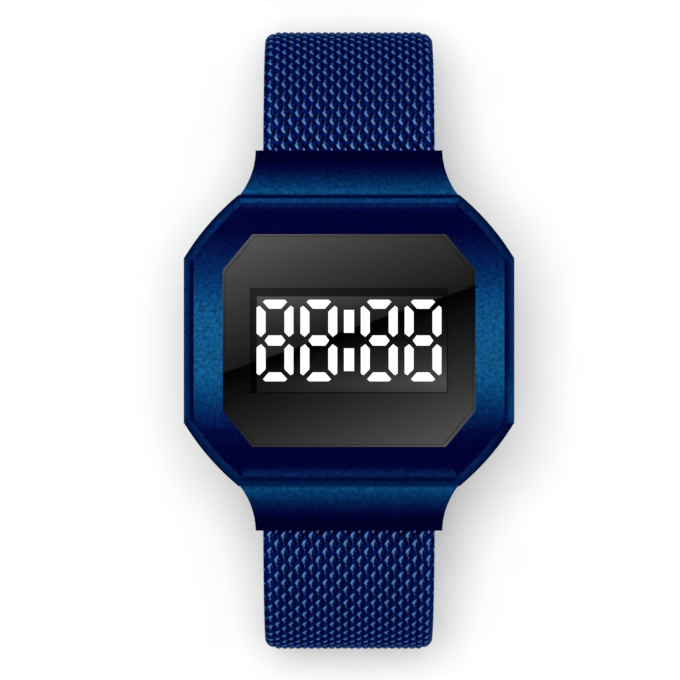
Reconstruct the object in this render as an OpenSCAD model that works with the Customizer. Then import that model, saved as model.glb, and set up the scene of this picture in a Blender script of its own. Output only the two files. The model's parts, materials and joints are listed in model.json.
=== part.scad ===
// Digital watch with an octagonal case, hooded strap ends and a woven wire strap.
// The dial faces +Z, 12 o'clock is +Y and 3 o'clock is +X. The strap is closed into a
// loop, and the watch stands on its clasp: the origin is on the floor below the case.

/* [Case] */
// Width of the case across its two long sides
case_w = 38; // [36:0.5:42]
// Length of the case between its 12 and 6 o'clock edges, without the hoods
case_l = 33.5; // [32:0.5:36]
// Length of the 12 and 6 o'clock edges
edge_w = 25.4; // [24:0.2:26.6]
// Length of the two straight sides
side_l = 18.9; // [17:0.1:20]
// Radius of the four slightly rounded corner facets
facet_r = 29; // [24:1:60]
// Height of the case middle
middle_h = 6.4; // [6:0.1:8]
// Height of the spring bars above the underside of the case middle
bar_up = 3; // [2.6:0.1:3.4]
// Radius of the vertical edge where the case middle turns under
under_bevel = 0.8; // [0.4:0.1:1.2]

/* [Bezel] */
// Height of the bezel above the case middle
bezel_h = 2.6; // [2.4:0.1:3]
// Width of the steep outer strip of the bevel
steep_w = 0.5; // [0.3:0.05:0.7]
// Height of the steep outer strip
steep_h = 0.7; // [0.5:0.05:0.9]
// Width of the flat inner strip of the bevel
slope_w = 0.7; // [0.4:0.05:0.9]
// Height of the flat inner strip
slope_h = 0.3; // [0.2:0.05:0.5]
// Width of the ledge that carries the glass and the display frame
ledge_w = 1.2; // [0.9:0.1:1.4]

/* [Glass and display] */
// Width of the opening for the glass
glass_w = 29; // [28:0.2:30]
// Length of the opening for the glass
glass_l = 24.4; // [23.4:0.2:25.2]
// Width that a corner cut takes from the opening
cut_w = 3.4; // [2.8:0.1:4]
// Length that a corner cut takes from the opening
cut_l = 4.1; // [3.4:0.1:4.6]
// Thickness of the glass
glass_t = 1.2; // [1:0.05:1.3]
// Thickness of the gasket round the glass
gasket_t = 0.25; // [0.2:0.01:0.4]
// Width of the gasket's lip under the glass
gasket_lip = 0.8; // [0.5:0.1:0.8]
// How far the glass lies below the top of the bezel
glass_drop = 0.1; // [0.05:0.05:0.2]
// Thickness of the display frame
mask_t = 0.5; // [0.4:0.05:0.6]
// Width of the display window
window_w = 22.6; // [22.2:0.1:23.2]
// Length of the display window
window_l = 11.9; // [11.4:0.1:12.4]
// Depth of the display below the top of the display frame
window_depth = 0.9; // [0.7:0.05:1.1]
// How far the display module reaches past each side of the window
led_margin = 0.9; // [0.6:0.1:1.2]

/* [Digits] */
// Width of one digit
digit_w = 4.24; // [4:0.02:4.4]
// Height of one digit
digit_h = 9.4; // [9:0.1:9.8]
// Width of an upright segment
stroke_w = 1.03; // [0.8:0.01:1.2]
// Width of the gap between two segments
stroke_gap = 0.28; // [0.2:0.02:0.34]
// Distance between the left edges of the two digits of a pair
digit_pitch = 5.05; // [4.9:0.01:5.2]
// Distance from the middle of the colon to the digits on each side
colon_gap = 1.36; // [1.2:0.02:1.6]
// Width of a colon bar
colon_w = 1.16; // [0.9:0.02:1.3]
// Height of a colon bar
colon_h = 2.62; // [2.2:0.02:3]
// Distance of a colon bar from the middle of the display
colon_y = 2.21; // [1.8:0.01:2.6]
// Height of a segment above the face of the display
stroke_h = 0.15; // [0.1:0.01:0.2]

/* [Hoods] */
// How far a hood reaches past the 12 or 6 o'clock edge
hood_reach = 5.25; // [5:0.05:5.6]
// Width of a hood at its end
hood_end_w = 21.6; // [21.4:0.1:22]
// Width of the case's edge left bare beside each side of a hood
hood_shoulder = 0.15; // [0.1:0.05:0.4]
// Height of a hood's end above the spring bar
hood_end_up = 2.1; // [2:0.05:2.6]
// How far a hood's end reaches below the spring bar
hood_end_down = 0.9; // [0.8:0.05:1.2]
// Bevel along the edges of a hood's end
hood_bevel = 0.5; // [0.3:0.05:0.6]
// Drop from the bezel's top to where the hood starts
hood_step = 1.1; // [0.8:0.1:1.4]
// Thickness of a hood's roof
roof_t = 0.9; // [0.7:0.05:1]
// Width between the lugs where the spring bar sits
lug_gap = 18.4; // [18.2:0.1:18.6]
// Distance from the spring bar to the hood's end
bar_in = 3.1; // [2.9:0.05:3.2]

/* [Spring bars] */
// Diameter of the spring bar's tube
bar_d = 1.5; // [1.4:0.05:1.6]
// Length of the spring bar's tube
bar_l = 15.5; // [15:0.1:15.8]
// Diameter of the rod of a tip inside the tube
rod_d = 0.9; // [0.8:0.05:1]
// Diameter of the nose that sits in the lug
nose_d = 0.8; // [0.7:0.05:0.8]
// Length of the nose past the lug's inner face
nose_in = 0.9; // [0.7:0.05:0.9]
// Thickness of the collar of a tip
collar_t = 0.3; // [0.25:0.05:0.35]
// Length of the rod of a tip
rod_l = 4.3; // [3.8:0.1:4.6]
// Thickness of the wire of the spring between the tips
bar_wire_d = 0.18; // [0.14:0.02:0.2]
// Number of coils of that spring
bar_coils = 14; // [10:1:18]

/* [Strap] */
// Width of the strap
strap_w = 20; // [19.6:0.1:20]
// Thickness of the woven mesh
strap_t = 2; // [1.8:0.1:2]
// Width of the slope along each edge of the mesh
edge_slope_w = 1.5; // [1:0.1:2]
// Height of that slope on each face
edge_slope_h = 0.5; // [0.3:0.05:0.6]
// Straight stretch of the strap from the spring bar on
lead_l = 5; // [4.6:0.1:5.6]
// Dip of the strap below the horizontal where it leaves the case
lead_dip = 18; // [17:0.5:20]
// Radius of the strap's bend beside the case
bend_top_r = 17; // [16:0.5:18]
// Outer diameter of the tube at the strap's end
end_tube_d = 2.9; // [2.7:0.05:3]
// Distance from the spring bar to where the mesh starts
mesh_from = 3; // [2.8:0.1:3.4]
// Length of a rib of the weave, from groove to groove
rib_pitch = 2; // [1.6:0.1:2.4]
// Depth of the grooves between the ribs
rib_depth = 0.4; // [0.2:0.05:0.4]

/* [Clasp] */
// Length of the slider
slider_l = 12.5; // [12:0.1:13]
// Thickness of the slider's walls
slider_wall = 0.9; // [0.8:0.05:1]
// Thickness of the slider's plate on the wrist side
plate_t = 0.8; // [0.7:0.05:1]
// Length of the long hole in that plate
slot_l = 8; // [6:0.5:10]
// Width of the long hole in that plate
slot_w = 3; // [2:0.5:4]
// Length of the ears that carry the catch bar
ear_l = 1.4; // [1.3:0.05:1.6]
// Distance that the slider can run back
slider_travel = 6; // [4:0.5:6]
// Diameter of the catch bar
catch_d = 1.1; // [1:0.05:1.1]
// Diameter of the lock flap's pin
flap_pin_d = 0.8; // [0.7:0.05:0.9]
// Diameter of the lock flap's barrel
flap_barrel_d = 1.7; // [1.6:0.05:1.75]
// Thickness of the lock flap
flap_t = 0.8; // [0.7:0.05:0.9]
// Length of the lock flap from its pin
flap_l = 9.4; // [8.8:0.1:9.8]
// Width of the hook
hook_w = 12; // [8:0.5:16]
// Thickness of the hook's sheet
hook_t = 0.45; // [0.4:0.05:0.5]
// Open gap between the hook and the slider's ears
hook_gap = 0.4; // [0.3:0.05:0.4]
// Length of the clamp behind the hook
crimp_l = 2.4; // [2:0.1:2.4]
// Length of the cap on the free end of the mesh
cap_l = 2; // [1.6:0.1:2.4]

/* [Module] */
// Thickness of the case's wall round the module
wall_t = 5.65; // [5.5:0.05:5.7]
// Width that a corner cut takes from the room for the module
cavity_cut = 4.6; // [4.4:0.1:4.8]
// Diameter of the coin cell
cell_d = 20; // [19.6:0.1:20]
// Height of the coin cell
cell_h = 1.6; // [1.4:0.1:1.6]
// Thickness of the circuit board
board_t = 0.8; // [0.6:0.1:0.9]
// Thickness of the module holder's wall
holder_wall = 0.5; // [0.4:0.05:0.5]
// Width of the controller chip
chip_w = 4; // [3:0.1:5]
// Length of the controller chip
chip_l = 2.4; // [2:0.1:2.6]
// Height of the controller chip
chip_h = 0.9; // [0.7:0.1:1]
// Diameter of the quartz crystal's can
crystal_d = 1.2; // [1:0.1:1.4]
// Length of the quartz crystal's can
crystal_l = 4.6; // [4:0.1:5]
// Diameter of the touch spring's wire
touch_wire_d = 0.28; // [0.2:0.02:0.3]
// Diameter of the touch spring, measured at the middle of its wire
touch_coil_d = 1.6; // [1.2:0.1:1.8]
// Number of coils of the touch spring
touch_coils = 5; // [4:1:6]
// Width of the clip below the coin cell
clip_w = 3; // [2:0.5:5]
// Thickness of the clip and of the contact above the coin cell
clip_t = 0.15; // [0.1:0.01:0.2]
// Length of the bowed contact above the coin cell
contact_l = 10; // [8:0.5:12]
// Width of the bowed contact
contact_w = 2.4; // [2:0.1:4]
// Distance between the coin cell and the circuit board
contact_gap = 0.8; // [0.6:0.1:0.9]
// Thickness of the insulating sheet
sheet_t = 0.1; // [0.08:0.01:0.12]

/* [Case back] */
// Thickness of the case back
back_t = 1.2; // [1.1:0.05:1.3]
// How far the case back stands below the case middle
back_out = 0.7; // [0.6:0.05:0.8]
// Margin between the case back and the outside of the case
back_in = 3; // [2.8:0.1:3.2]
// Bevel round the case back's outer edge
back_bevel = 0.4; // [0.2:0.05:0.5]
// Diameter of a case back screw's head
screw_head_d = 2; // [1.8:0.1:2.2]
// Height of that head
screw_head_h = 0.6; // [0.5:0.05:0.7]
// Diameter of a case back screw's shank
screw_d = 1.1; // [1:0.05:1.2]
// Length of a case back screw with its head
screw_l = 3.1; // [2.6:0.1:3.4]
// Height of the case back's gasket
back_gasket_h = 0.5; // [0.4:0.05:0.6]
// Width of the case back's gasket
back_gasket_w = 0.5; // [0.4:0.05:0.5]

/* [Fits] */
// Clearance round a pin that turns or slides
run_fit = 0.05; // [0.02:0.01:0.08]
// Clearance round the rounded end of a mesh link
link_fit = 0.08; // [0.07:0.01:0.1]
// Gap between parts that pass each other
part_gap = 0.15; // [0.1:0.01:0.2]
// Gap between parts that stay still inside the case
inner_gap = 0.1; // [0.05:0.01:0.15]
// Gap between a spring bar's collar and the lug
tip_gap = 0.1; // [0.05:0.01:0.15]

/* [Hidden] */
$fn = 96;

// Colours of the metal parts
navy = [0.07, 0.12, 0.34];
blue = [0.10, 0.32, 0.55];
mesh_blue = [0.12, 0.19, 0.42];
steel = [0.72, 0.73, 0.75];
black = [0.05, 0.05, 0.06];

// Cut helper: how far a cutting body reaches past the part it cuts
past = 1;
// Cut helper: how deep a body sinks into its neighbour so that they become one solid
sink = 0.02;

// Clasp from the bend of the lower half, at -Y, to that of the upper half

// Straight mesh left behind the slider when it has run all the way back, and at the hook
straight_rest = 2.3;
straight_end = 0.2;
hook_r = catch_d / 2 + part_gap + hook_t;
// Half of the straight stretch between the two bends, which the clasp takes up
straight_y = (straight_rest + slider_travel + slider_l + ear_l + hook_gap
    + 2 * hook_r - hook_t + crimp_l + straight_end) / 2;
// Height of the clasp's ears and of the flap's barrel above the floor
clasp_low = 0.15;
mesh_z = clasp_low + flap_barrel_d + part_gap + strap_t / 2;

// Strap path

// Number of bends in half a strap
bends = 6;
bend_turn = (180 - lead_dip) / bends;
hood_end_y = case_l / 2 + hood_reach;
bar_y = hood_end_y - bar_in;

function sum(v, i = 0) = i < len(v) ? v[i] + sum(v, i + 1) : 0;
// Dip of the strap where link i starts; the first and last links bend half as far
function dip(i) = i == 0 ? lead_dip : i > bends ? 180 : lead_dip + bend_turn * (i - 0.5);
// How far link i reaches along Y for each millimetre of its radius
reach = [for (i = [0 : bends]) sin(dip(i + 1)) - sin(dip(i))];
low_reach = sum([for (i = [0 : bends]) reach[i] * i / bends]);
// Radius beside the clasp, such that the bends end where the clasp's straight starts
bend_low_r = (straight_y - bar_y - lead_l * cos(lead_dip)
    - bend_top_r * (sum(reach) - low_reach)) / low_reach;
function link_r(i) = bend_top_r + (bend_low_r - bend_top_r) * i / bends;
// Start of link i in the Y and Z directions, measured from the spring bar
function from_bar(i) = i == 0
    ? lead_l * [cos(lead_dip), -sin(lead_dip)]
    : from_bar(i - 1) + link_r(i - 1) * [reach[i - 1], cos(dip(i)) - cos(dip(i - 1))];
bar_z = mesh_z - from_bar(bends + 1)[1];
function link_start(i) = [bar_y, bar_z] + from_bar(i);

// Heights in the case

middle_z = bar_z - bar_up;
bezel_z = middle_z + middle_h;
top_z = bezel_z + bezel_h;
glass_z = top_z - glass_drop - glass_t;
mask_z = glass_z - part_gap - mask_t;
led_top_z = mask_z + mask_t - window_depth;
back_z = middle_z - back_out;
back_top_z = back_z + back_t;
sheet_z = back_top_z + part_gap;
clip_z = sheet_z + sheet_t;
cell_z = clip_z + clip_t;
board_z = cell_z + cell_h + contact_gap;
board_top_z = board_z + board_t;

// Room for the module and the screws beside it

cavity_w = case_w - 2 * wall_t;
cavity_l = case_l - 2 * wall_t;
board_w = cavity_w - 2 * (holder_wall + part_gap);
board_l = cavity_l - 2 * (holder_wall + part_gap);
// The case back's gasket starts this far outside the room for the module
gasket_from = 0.3;
gasket_out = gasket_from + back_gasket_w;
// Wall between the gasket and a screw's hole
screw_wall = 0.35;
// Distance of a screw from the slanting corner edge of the room for the module
screw_out = gasket_out * sqrt(2) + screw_wall + screw_d / 2 + run_fit;
screw_x = cavity_w / 2 - cavity_cut / 2 + screw_out / sqrt(2);
screw_y = cavity_l / 2 - cavity_cut / 2 + screw_out / sqrt(2);

// Clasp places along Y; the catch bar end of the slider is at the larger Y

slider_y0 = slider_travel + straight_rest - straight_y;
slider_y1 = slider_y0 + slider_l;
ear_y = slider_y1 + ear_l;
ear_wall = 0.3;
catch_y = ear_y - catch_d / 2 - ear_wall;
catch_z = clasp_low + 2 * ear_wall + catch_d / 2;
flap_pin_in = 1.9;
flap_pin_y = slider_y1 - flap_pin_in;
flap_pin_z = clasp_low + flap_barrel_d / 2;
slider_side = strap_w / 2 + part_gap;
slider_half = slider_side + slider_wall;
slider_top = mesh_z + strap_t / 2 + part_gap + plate_t;
// The free end of the lower half lies this far inside the slider
mesh_tip_in = 0.9;
mesh_tip_y = slider_y1 - mesh_tip_in;
hook_y = ear_y + hook_gap + hook_r;
crimp_y = hook_y + hook_r - hook_t;

// Outlines

// Corner facet in plan: centre of its circle, for a facet from point a to point b
function facet_centre(a, b) =
    let (chord = norm(b - a), out = [a[1] - b[1], b[0] - a[0]] / chord)
    (a + b) / 2 - out * sqrt(facet_r * facet_r - chord * chord / 4);
facet = facet_centre([edge_w / 2, case_l / 2], [case_w / 2, side_l / 2]);

function octagon(w, l, cw, cl) = [
    [w / 2, l / 2 - cl], [w / 2 - cw, l / 2], [-w / 2 + cw, l / 2], [-w / 2, l / 2 - cl],
    [-w / 2, -l / 2 + cl], [-w / 2 + cw, -l / 2], [w / 2 - cw, -l / 2], [w / 2, -l / 2 + cl]
];

// Block with the case's outline. Its edge follows the steps, from the lowest up: each is
// [how far the outline is drawn in, height]
module case_block(steps) {
    intersection() {
        stepped_prism(case_w / 2, steps, case_l + 2 * past);
        rotate([0, 0, 90]) stepped_prism(case_l / 2, steps, case_w + 2 * past);
        facet_pair(1, steps);
        facet_pair(-1, steps);
    }
}

// Prism along Y with the half width taken from the steps
module stepped_prism(half, steps, l) {
    right = [for (p = steps) [half - p[0], p[1]]];
    left = [for (i = [len(steps) - 1 : -1 : 0]) [steps[i][0] - half, steps[i][1]]];
    translate([0, l / 2, 0]) rotate([90, 0, 0]) linear_extrude(l)
        polygon(concat(right, left));
}

// The two rounded corner facets on one diagonal
module facet_pair(s, steps) {
    foot = [0, steps[0][1]];
    head = [0, steps[len(steps) - 1][1]];
    intersection_for (t = [1, -1]) translate([t * facet[0], s * t * facet[1], 0])
        rotate([0, 0, t * s * 45]) rotate_extrude()
            polygon(concat([foot], [for (p = steps) [facet_r - p[0], p[1]]], [head]));
}

module pane(z, h, inset) {
    translate([0, 0, z]) linear_extrude(h)
        polygon(octagon(glass_w - 2 * inset, glass_l - 2 * inset, cut_w, cut_l));
}

// Body made by moving a Y and Z outline along X, centred
module along_x(w) {
    rotate([90, 0, 90]) translate([0, 0, -w / 2]) linear_extrude(w) children();
}

module rod_x(d, l, y, z, x = 0) {
    translate([x - l / 2, y, z]) rotate([0, 90, 0]) cylinder(d = d, h = l);
}

// Case middle

hood_root = 2;
hood_y0 = case_l / 2 - hood_root;
hood_roof_z = bar_z + hood_end_up;

// Side outline of a hood with its lugs
module hood_side() {
    polygon([
        [hood_y0, middle_z], [bar_y, middle_z],
        [hood_end_y - hood_bevel, bar_z - hood_end_down],
        [hood_end_y, bar_z - hood_end_down + hood_bevel],
        [hood_end_y, hood_roof_z - hood_bevel], [hood_end_y - hood_bevel, hood_roof_z],
        [case_l / 2 - slope_w, top_z - hood_step], [hood_y0, top_z - hood_step]
    ]);
}

// Plan of a hood: its sides flare in an arc that ends parallel to the strap
module hood_plan() {
    root_w = edge_w - 2 * hood_shoulder;
    step = (root_w - hood_end_w) / 2;
    flare_r = (step * step + hood_reach * hood_reach) / (2 * step);
    difference() {
        translate([-root_w / 2, hood_y0]) square([root_w, hood_end_y - hood_y0]);
        for (s = [-1, 1]) translate([s * (hood_end_w / 2 + flare_r), hood_end_y])
            circle(r = flare_r);
    }
}

// Room under a hood for the strap's end: open below and at the hood's end
module hood_room() {
    tube_gap = 0.35;
    strap_gap = 0.2;
    mouth_l = 0.7;
    roof_y = bar_y - end_tube_d / 2 - tube_gap;
    slope = (top_z - hood_step - hood_roof_z)
        / (hood_end_y - hood_bevel - case_l / 2 + slope_w);
    roof_z = hood_roof_z - roof_t;
    along_x(lug_gap) polygon([
        [roof_y, middle_z - past], [hood_end_y + past, middle_z - past],
        [hood_end_y + past, roof_z - slope * past], [roof_y, roof_z + slope * bar_in]
    ]);
    along_x(strap_w + 2 * strap_gap) translate([hood_end_y - mouth_l, middle_z - past])
        square([mouth_l + past, roof_z - middle_z + past]);
}

module case_middle() {
    color(blue) difference() {
        union() {
            case_block([[under_bevel, middle_z], [0, middle_z + under_bevel], [0, bezel_z]]);
            for (m = [0, 1]) mirror([0, m, 0]) intersection() {
                along_x(edge_w) hood_side();
                translate([0, 0, middle_z - past]) linear_extrude(top_z) hood_plan();
            }
        }
        for (m = [0, 1]) mirror([0, m, 0]) {
            hood_room();
            rod_x(nose_d + 2 * run_fit, lug_gap + 2 * (nose_in + tip_gap), bar_y, bar_z);
        }
        // The bezel takes the place above the case middle, inside the hoods
        case_block([[0, bezel_z], [0, top_z + past]]);
        translate([0, 0, middle_z - past]) linear_extrude(middle_h + 2 * past)
            polygon(octagon(cavity_w, cavity_l, cavity_cut, cavity_cut));
        case_block([
            [back_in - part_gap, middle_z - past], [back_in - part_gap, back_top_z]
        ]);
        back_gasket_ring();
        at_screws(middle_z - past)
            cylinder(d = screw_d + 2 * run_fit, h = screw_l - back_out + part_gap + past);
    }
}

// Case back

module at_screws(z) {
    for (x = [-screw_x, screw_x], y = [-screw_y, screw_y]) translate([x, y, z]) children();
}

module back_gasket_ring() {
    translate([0, 0, back_top_z]) linear_extrude(back_gasket_h) difference() {
        polygon(octagon(cavity_w + 2 * gasket_out, cavity_l + 2 * gasket_out,
            cavity_cut, cavity_cut));
        polygon(octagon(cavity_w + 2 * gasket_from, cavity_l + 2 * gasket_from,
            cavity_cut, cavity_cut));
    }
}

module back_gasket() {
    color(black) back_gasket_ring();
}

module case_back() {
    color(steel) difference() {
        case_block([
            [back_in + back_bevel, back_z], [back_in, back_z + back_bevel],
            [back_in, back_top_z]
        ]);
        at_screws(back_z - past) {
            cylinder(d = screw_head_d + 2 * run_fit, h = screw_head_h + past);
            cylinder(d = screw_d + 2 * run_fit, h = back_t + 2 * past);
        }
    }
}

// Screws with a cross slot in the head
module back_screws() {
    slot = [0.7 * screw_head_d, 0.25, 0.3];
    color(steel) at_screws(back_z) difference() {
        union() {
            cylinder(d = screw_head_d, h = screw_head_h);
            cylinder(d = screw_d, h = screw_l);
        }
        for (a = [0, 90]) rotate([0, 0, a]) translate([-slot[0] / 2, -slot[1] / 2, -past])
            cube([slot[0], slot[1], past + slot[2]]);
    }
}

// Bezel, glass and display

module bezel() {
    color(navy) difference() {
        case_block([
            [0, bezel_z], [0, top_z - slope_h - steep_h], [steep_w, top_z - slope_h],
            [steep_w + slope_w, top_z]
        ]);
        pane(mask_z, top_z, 0);
        pane(bezel_z - past, bezel_h + past, ledge_w);
    }
}

module glass() {
    color([0.1, 0.1, 0.12, 0.5]) pane(glass_z, glass_t, gasket_t);
}

module glass_gasket() {
    color(black) difference() {
        pane(mask_z + mask_t, glass_z + glass_t - mask_z - mask_t, 0);
        pane(glass_z, glass_t + past, gasket_t);
        pane(mask_z - past, mask_t + 2 * past, gasket_t + gasket_lip);
    }
}

module display_frame() {
    color(black) difference() {
        pane(mask_z, mask_t, inner_gap);
        translate([-window_w / 2, -window_l / 2, mask_z - past])
            cube([window_w, window_l, mask_t + 2 * past]);
    }
}

module led_display() {
    w = window_w + 2 * led_margin;
    l = window_l + 2 * led_margin;
    edge_z = min(mask_z - part_gap, led_top_z);
    face_w = window_w - 2 * inner_gap;
    face_l = window_l - 2 * inner_gap;
    color(black) translate([0, 0, board_top_z]) union() {
        translate([-w / 2, -l / 2, 0]) cube([w, l, edge_z - board_top_z]);
        translate([-face_w / 2, -face_l / 2, 0])
            cube([face_w, face_l, led_top_z - board_top_z]);
    }
}

// Upright segment of height h, its left side outward. The lower end has its point near that
// side, and the upper end in the middle
module upright_stroke(h) {
    w = stroke_w;
    polygon([
        [0, 0.2 * w], [0.31 * w, 0], [w, 0.67 * w],
        [w, h - 0.52 * w], [0.5 * w, h], [0, h - 0.38 * w]
    ]);
}

// Segment at a digit's end, outer edge at the bottom
module end_stroke() {
    w = stroke_w;
    half = digit_w / 2 - 0.7 * w;
    polygon([
        [-half + 0.28 * w, 0], [half - 0.28 * w, 0], [half, 0.24 * w],
        [half - 0.68 * w, w], [-half + 0.68 * w, w], [-half, 0.24 * w]
    ]);
}

// Segment across a digit's middle
module middle_stroke() {
    half = digit_w / 2 - 0.9 * stroke_w;
    flat = half - 0.43 * stroke_w;
    h = 0.57 * stroke_w;
    polygon([[-half, 0], [-flat, -h], [flat, -h], [half, 0], [flat, h], [-flat, h]]);
}

// One digit with all seven segments, its lower left corner at the origin
module digit() {
    end_gap = 2.5 * stroke_gap;
    upright_h = digit_h / 2 - end_gap - 1.5 * stroke_gap;
    for (m = [0, 1]) translate([m * digit_w, 0]) mirror([m, 0]) for (n = [0, 1])
        translate([0, n * digit_h]) mirror([0, n]) translate([0, end_gap])
            upright_stroke(upright_h);
    for (n = [0, 1]) translate([digit_w / 2, n * digit_h]) mirror([0, n]) end_stroke();
    translate([digit_w / 2, digit_h / 2]) middle_stroke();
}

module digit_segments() {
    starts = [
        -colon_gap - digit_w - digit_pitch, -colon_gap - digit_w,
        colon_gap, colon_gap + digit_pitch
    ];
    color("white") translate([0, 0, led_top_z]) linear_extrude(stroke_h) {
        for (x = starts) translate([x, -digit_h / 2]) digit();
        for (s = [-1, 1]) translate([0, s * colon_y])
            square([colon_w, colon_h], center = true);
    }
}

// Module

// Places of the parts on the board along X
chip_x = 3.2;
touch_x = 6;

module circuit_board() {
    color([0.05, 0.25, 0.12]) translate([0, 0, board_z]) linear_extrude(board_t)
        polygon(octagon(board_w, board_l, cavity_cut, cavity_cut));
}

module controller_chip() {
    edge_gap = 0.8;
    color(black) translate([-chip_x - chip_w / 2, board_l / 2 - edge_gap - chip_l, board_top_z])
        cube([chip_w, chip_l, chip_h]);
}

module quartz_crystal() {
    edge_gap = 1.4;
    color(steel) rod_x(crystal_d, crystal_l, board_l / 2 - edge_gap - crystal_d / 2,
        board_top_z + crystal_d / 2, chip_x);
}

// Coil spring along +Z: one tube on a helix, its rings of points not tilted
module coil(l, coil_d, wire_d, turns) {
    steps = 12;
    sides = 6;
    rise = l - wire_d;
    last = turns * steps;
    points = [for (i = [0 : last], k = [0 : sides - 1])
        let (a = i * 360 / steps, b = k * 360 / sides, r = (coil_d + wire_d * cos(b)) / 2)
        [r * cos(a), r * sin(a), rise * i / last + wire_d * (1 + sin(b)) / 2]];
    skin = [for (i = [0 : last - 1], k = [0 : sides - 1])
        let (p = i * sides + k, q = i * sides + (k + 1) % sides)
        each [[p, q, p + sides], [q, q + sides, p + sides]]];
    foot = [for (k = [0 : sides - 1]) sides - 1 - k];
    head = [for (k = [0 : sides - 1]) last * sides + k];
    polyhedron(points, concat(skin, [foot, head]));
}

// Spring that joins the board to the glass
module touch_spring() {
    edge_gap = 1.9;
    color("gold") translate([touch_x, -board_l / 2 + edge_gap, board_top_z])
        coil(mask_z - part_gap - board_top_z, touch_coil_d, touch_wire_d, touch_coils);
}

module module_holder() {
    rim = 0.5;
    h = board_z - cell_z + rim;
    color([0.85, 0.85, 0.82]) difference() {
        translate([0, 0, cell_z]) linear_extrude(h) polygon(octagon(
            board_w + 2 * holder_wall, board_l + 2 * holder_wall, cavity_cut, cavity_cut));
        translate([0, 0, board_z]) linear_extrude(past + rim)
            polygon(octagon(board_w, board_l, cavity_cut, cavity_cut));
        translate([0, 0, cell_z - past]) cylinder(d = cell_d + 2 * run_fit, h = past + h);
    }
}

// Coin cell: a can with the smaller cap of the other pole on top
module coin_cell() {
    rim = 1.4;
    cap_h = 0.25;
    color(steel) translate([0, 0, cell_z]) {
        cylinder(d = cell_d, h = cell_h - cap_h);
        translate([0, 0, cell_h - cap_h]) cylinder(d = cell_d - 2 * rim, h = cap_h);
    }
}

// Strip under the coin cell, from end to end of the holder
module positive_clip() {
    l = board_l - 2 * inner_gap;
    color("gold") translate([-clip_w / 2, -l / 2, clip_z]) cube([clip_w, l, clip_t]);
}

// Bowed leaf between the cell's cap and the board
module negative_contact() {
    bow_r = (contact_l * contact_l / 4 + contact_gap * contact_gap) / (2 * contact_gap);
    base = cell_z + cell_h;
    color("gold") intersection() {
        along_x(contact_w) translate([0, base + contact_gap - bow_r]) difference() {
            circle(r = bow_r);
            circle(r = bow_r - clip_t);
        }
        translate([-contact_w, -contact_l / 2, base])
            cube([2 * contact_w, contact_l, contact_gap]);
    }
}

module insulating_sheet() {
    color([0.85, 0.7, 0.2]) translate([0, 0, sheet_z]) linear_extrude(sheet_t)
        polygon(octagon(board_w, board_l, cavity_cut, cavity_cut));
}

// Spring bars

tip_x = lug_gap / 2 - tip_gap;

module spring_bar(side) {
    color(steel) difference() {
        rod_x(bar_d, bar_l, side * bar_y, bar_z);
        rod_x(rod_d + 2 * run_fit, bar_l + past, side * bar_y, bar_z);
    }
}

// Coil spring between the rods of the two tips
module bar_spring(side) {
    l = 2 * (tip_x - collar_t - rod_l - run_fit);
    color(steel) translate([-l / 2, side * bar_y, bar_z]) rotate([0, 90, 0])
        coil(l, rod_d - bar_wire_d, bar_wire_d, bar_coils);
}

// Sprung tip: rod inside the tube, collar and nose
module bar_tip(side, end) {
    nose_l = nose_in + tip_gap;
    color(steel) {
        rod_x(rod_d, rod_l, side * bar_y, bar_z, end * (tip_x - collar_t - rod_l / 2));
        rod_x(bar_d, collar_t, side * bar_y, bar_z, end * (tip_x - collar_t / 2));
        rod_x(nose_d, nose_l + collar_t, side * bar_y, bar_z,
            end * (tip_x + nose_l / 2 - collar_t / 2));
    }
}

module upper_spring_bar() { spring_bar(1); }
module upper_bar_spring() { bar_spring(1); }
module upper_bar_tip_left() { bar_tip(1, -1); }
module upper_bar_tip_right() { bar_tip(1, 1); }
module lower_spring_bar() { spring_bar(-1); }
module lower_bar_spring() { bar_spring(-1); }
module lower_bar_tip_left() { bar_tip(-1, -1); }
module lower_bar_tip_right() { bar_tip(-1, 1); }

// Strap

clamp_from = 1.2;
// How far a knuckle stays inside the faces of the mesh
knuckle_in = 0.03;

// Section of the mesh: thickness along X, width along Y, thinner along both edges
module mesh_section(grow = 0) {
    t = strap_t / 2 + grow;
    w = strap_w / 2 + grow;
    flat = w - edge_slope_w + grow;
    polygon([
        [t, flat], [t - edge_slope_h, w], [-t + edge_slope_h, w], [-t, flat],
        [-t, -flat], [-t + edge_slope_h, -w], [t - edge_slope_h, -w], [t, -flat]
    ]);
}

// Rounded end of a link: the mesh's section turned about the bend axis
module knuckle(i, grow) {
    at = link_start(i);
    translate([0, at[0], at[1]]) rotate([0, -90, 0]) rotate([0, 0, 90 + dip(i)])
        rotate_extrude() intersection() {
            mesh_section(grow);
            translate([0, -strap_w]) square([strap_t, 2 * strap_w]);
        }
}

module arc_link(i) {
    turn = dip(i + 1) - dip(i);
    at = link_start(i);
    centre = at - link_r(i) * [sin(dip(i)), cos(dip(i))];
    translate([0, centre[0], centre[1]]) rotate([0, -90, 0]) rotate([0, 0, dip(i)])
        rotate_extrude(angle = turn) translate([link_r(i), 0]) mesh_section();
}

// Grooves across both faces of a link, between the rows of the weave. They stay clear of
// the rounded ends
module arc_grooves(i) {
    turn = dip(i + 1) - dip(i);
    count = round(link_r(i) * turn * PI / 180 / rib_pitch);
    at = link_start(i);
    centre = at - link_r(i) * [sin(dip(i)), cos(dip(i))];
    translate([0, centre[0], centre[1]]) for (k = [1 : count - 1])
        rotate([-dip(i) - turn * k / count, 0, 0]) translate([0, 0, link_r(i)])
            groove_pair();
}

// A groove in each face, across a strap that lies flat with its middle at the origin
module groove_pair() {
    for (s = [-1, 1]) translate([0, 0, s * strap_t / 2]) rotate([45, 0, 0])
        cube([strap_w + 2 * past, rib_depth * sqrt(2), rib_depth * sqrt(2)], center = true);
}

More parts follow.
